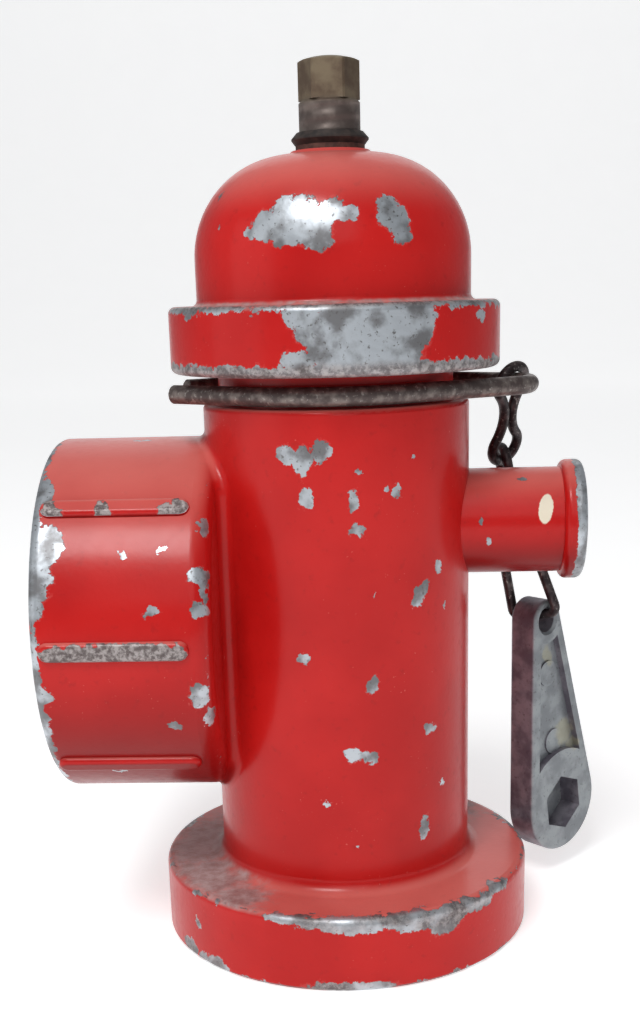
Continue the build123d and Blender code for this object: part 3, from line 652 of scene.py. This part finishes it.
def paint_casting():
    """Paints the casting region by region, so that each material carries only its own wear."""
    mesh = frame["nodes"]["hydrant_casting"].data
    regions = [("painted_barrel", barrel_wear, None, None, None),
               ("painted_coupling", coupling_wear, None, rib_tarnish, None),
               ("painted_foot", foot_wear, foot_scuffs, foot_tarnish, None),
               ("painted_spout", spout_wear, None, None, spout_touch_up)]
    mesh.materials.clear()
    for name, wear, scuffs, tarnish, touch_up in regions:
        mesh.materials.append(painted_metal(name, wear, scuffs, tarnish, touch_up))
    for face in mesh.polygons:
        face.material_index = casting_region(*face.center)


def dress_frame():
    """Materials of all the CAD nodes."""
    paint_casting()
    assign(painted_metal("painted_bonnet", bonnet_wear, bonnet_scuffs, ring_tarnish), "bonnet")
    assign(cast_zinc("cast_zinc"), "base_plug")
    assign(worn_wrench("worn_wrench"), "wrench")
    assign(threaded_brass("threaded_brass"), "valve_stem")
    assign(aged_brass("aged_brass"), "washer_cup", "washer_screw", "seat_insert", "packing_washer")
    assign(tarnished_wire("clip_wire", *CLIP_WIRE), "neck_clip")
    assign(tarnished_wire("chain_wire", *CHAIN_WIRE),
           "upper_link", "lower_link", "key_ring")
    assign(soft_material("black_rubber", *BLACK_RUBBER, 0.6),
           "stem_seal", "hose_washer", "valve_washer")
    assign(soft_material("collar_fibre", *COLLAR_FIBRE, 0.7), "gland_collar")
    assign(soft_material("gasket_fibre", *GASKET_FIBRE, 0.8),
           "bonnet_gasket", "base_plug_gasket", "stem_packing")


# ---------------------------------------------------------------- camera, stage and light
CAMERA_PLACE = Vector((4.59, -141.4, 67.15)) * MM
CAMERA_TURNS = radians(-2.84), radians(15.876), radians(-1.562)
CAMERA_LENS = 46.86
CAMERA_SHIFT = 0.1564


def add_camera():
    """Camera a little above the dome, tipped down; the shift frames the whole hydrant."""
    yaw, pitch, roll = CAMERA_TURNS
    forward = Vector((sin(yaw) * cos(pitch), cos(yaw) * cos(pitch), -sin(pitch)))
    right = Vector((cos(yaw), -sin(yaw), 0))
    up = right.cross(forward)
    right, up = cos(roll) * right + sin(roll) * up, cos(roll) * up - sin(roll) * right
    data = bpy.data.cameras.new("camera")
    data.lens = CAMERA_LENS
    data.shift_y = CAMERA_SHIFT
    data.clip_start = 0.01
    camera = bpy.data.objects.new("camera", data)
    turn = Matrix((right, up, -forward)).transposed().to_4x4()
    camera.matrix_world = Matrix.Translation(CAMERA_PLACE) @ turn
    bpy.context.scene.collection.objects.link(camera)
    bpy.context.scene.camera = camera


FLOOR_HALF_WIDTH = 0.55
FLOOR_FRONT = -0.5
BACKDROP_PLACE = 1.4
BACKDROP_HEIGHT = 1.6
BACKDROP_BEND = 0.5
BACKDROP_STEPS = 12
FLOOR_GLOW = 0.52


def add_stage():
    """Pale floor that curves up into a backdrop far behind."""
    profile = [(FLOOR_FRONT, 0.0)]
    for step in range(BACKDROP_STEPS + 1):
        turn = pi / 2 * step / BACKDROP_STEPS
        profile.append((BACKDROP_PLACE - BACKDROP_BEND + BACKDROP_BEND * sin(turn),
                        BACKDROP_BEND - BACKDROP_BEND * cos(turn)))
    profile.append((BACKDROP_PLACE, BACKDROP_HEIGHT))
    points = [(x, y, z) for y, z in profile for x in (-FLOOR_HALF_WIDTH, FLOOR_HALF_WIDTH)]
    faces = [(2 * i, 2 * i + 1, 2 * i + 3, 2 * i + 2) for i in range(len(profile) - 1)]
    mesh = bpy.data.meshes.new("floor")
    mesh.from_pydata(points, [], faces)
    mesh.shade_smooth()
    floor = bpy.data.objects.new("floor", mesh)
    bpy.context.scene.collection.objects.link(floor)
    shader = Shader("floor_paper")
    grain = shader.noise(20 * MM, detail=2.0)
    color = shader.mix(grain, *FLOOR_PAPER)
    mesh.materials.append(shader.surface(Base_Color=color, Roughness=0.9, Emission_Color=(1, 1, 1, 1),
                                         Emission_Strength=FLOOR_GLOW))


LIGHTS = [  # name, place, size, power
    ("key", (-0.10, -0.28, 0.46), 0.16, 1.2),
    ("front", (0.05, -0.70, 0.50), 0.5, 0.9),
    ("fill_left", (-0.6, -0.25, 0.22), 0.5, 0.5),
]
LIT_POINT = Vector((0, 0, 0.045))
SKY_COLOUR = (0.95, 0.97, 1.0, 1)
SKY_STRENGTH = 0.26


def add_light(name, place, size, power):
    """Square soft light aimed at the middle of the hydrant."""
    data = bpy.data.lights.new(name, "AREA")
    data.size = size
    data.energy = power
    light = bpy.data.objects.new(name, data)
    place = Vector(place)
    light.location = place
    light.rotation_euler = (LIT_POINT - place).to_track_quat("-Z", "Y").to_euler()
    bpy.context.scene.collection.objects.link(light)


def add_lights():
    """Soft studio light: a key lamp above, a broad front lamp, a weak fill and a dim sky."""
    for light in LIGHTS:
        add_light(*light)
    world = bpy.data.worlds.new("studio")
    world.use_nodes = True
    background = world.node_tree.nodes["Background"]
    background.inputs["Color"].default_value = SKY_COLOUR
    background.inputs["Strength"].default_value = SKY_STRENGTH
    bpy.context.scene.world = world
    bpy.context.scene.view_settings.view_transform = "Standard"


add_camera()
dress_frame()
add_stage()
add_lights()
